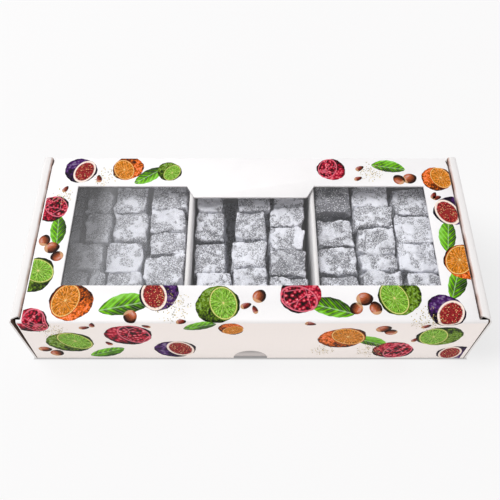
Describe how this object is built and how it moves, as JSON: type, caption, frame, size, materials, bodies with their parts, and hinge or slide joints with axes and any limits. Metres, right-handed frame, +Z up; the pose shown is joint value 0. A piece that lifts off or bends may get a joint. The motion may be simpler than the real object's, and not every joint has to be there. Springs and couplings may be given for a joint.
{
  "type": "windowed gift box of turkish delight",
  "caption": "Flat white gift carton with a hinged windowed lid, packed with sugar-dusted cubes of sweet in three compartments.",
  "frame": {"origin": "middle of the carton's footprint, on the surface that it stands on", "axes": "+X along the long side to the right, +Y to the hinged back, +Z up; the front flap faces -Y"},
  "size_m": [0.32, 0.14, 0.064],
  "materials": {
    "white_board": "matt uncoated white board",
    "printed_board": "silk-coated printed white board",
    "clear_film": "clear glossy film",
    "dusted_sweet": "dry, grainy sugar dust"
  },
  "bodies": {
    "carton": {"front_row_left": "dusted_sweet", "front_row_middle": "dusted_sweet", "front_row_right": "dusted_sweet", "left_a_1": "dusted_sweet", "left_a_2": "dusted_sweet", "left_a_3": "dusted_sweet", "left_a_4": "dusted_sweet", "left_a_4_end": "dusted_sweet", "left_b_1": "dusted_sweet", "left_b_2": "dusted_sweet", "left_b_3": "dusted_sweet", "left_b_4": "dusted_sweet", "left_c_1": "dusted_sweet", "left_c_2": "dusted_sweet", "left_c_3": "dusted_sweet", "left_c_4": "dusted_sweet", "left_outer_1": "dusted_sweet", "left_outer_2": "dusted_sweet", "lower_layer_left": "dusted_sweet", "lower_layer_middle": "dusted_sweet", "lower_layer_right": "dusted_sweet", "middle_a_1": "dusted_sweet", "middle_a_2": "dusted_sweet", "middle_a_3": "dusted_sweet", "middle_a_4": "dusted_sweet", "middle_b_1": "dusted_sweet", "middle_b_2": "dusted_sweet", "middle_b_3": "dusted_sweet", "middle_b_4": "dusted_sweet", "middle_c_1": "dusted_sweet", "middle_c_2": "dusted_sweet", "middle_c_3": "dusted_sweet", "middle_c_4": "dusted_sweet", "middle_c_5": "dusted_sweet", "partition_left": "white_board", "partition_right": "white_board", "right_a_1": "dusted_sweet", "right_a_2": "dusted_sweet", "right_a_3": "dusted_sweet", "right_a_4": "dusted_sweet", "right_b_1": "dusted_sweet", "right_b_2": "dusted_sweet", "right_b_3": "dusted_sweet", "right_b_4": "dusted_sweet", "right_b_5": "dusted_sweet", "right_c_1": "dusted_sweet", "right_c_2": "dusted_sweet", "right_c_3": "dusted_sweet", "right_c_4": "dusted_sweet", "side_row_left": "dusted_sweet", "side_row_right": "dusted_sweet", "tray": "white_board"},
    "lid": {"lid": "printed_board", "window_film": "clear_film"}
  },
  "joints": [
    {"name": "lid_hinge", "type": "hinge", "parent": "carton", "child": "lid", "pos_m": [0, 0.07, 0.06075], "axis": [-1, 0, 0], "range_deg": [0, 180]}
  ]
}
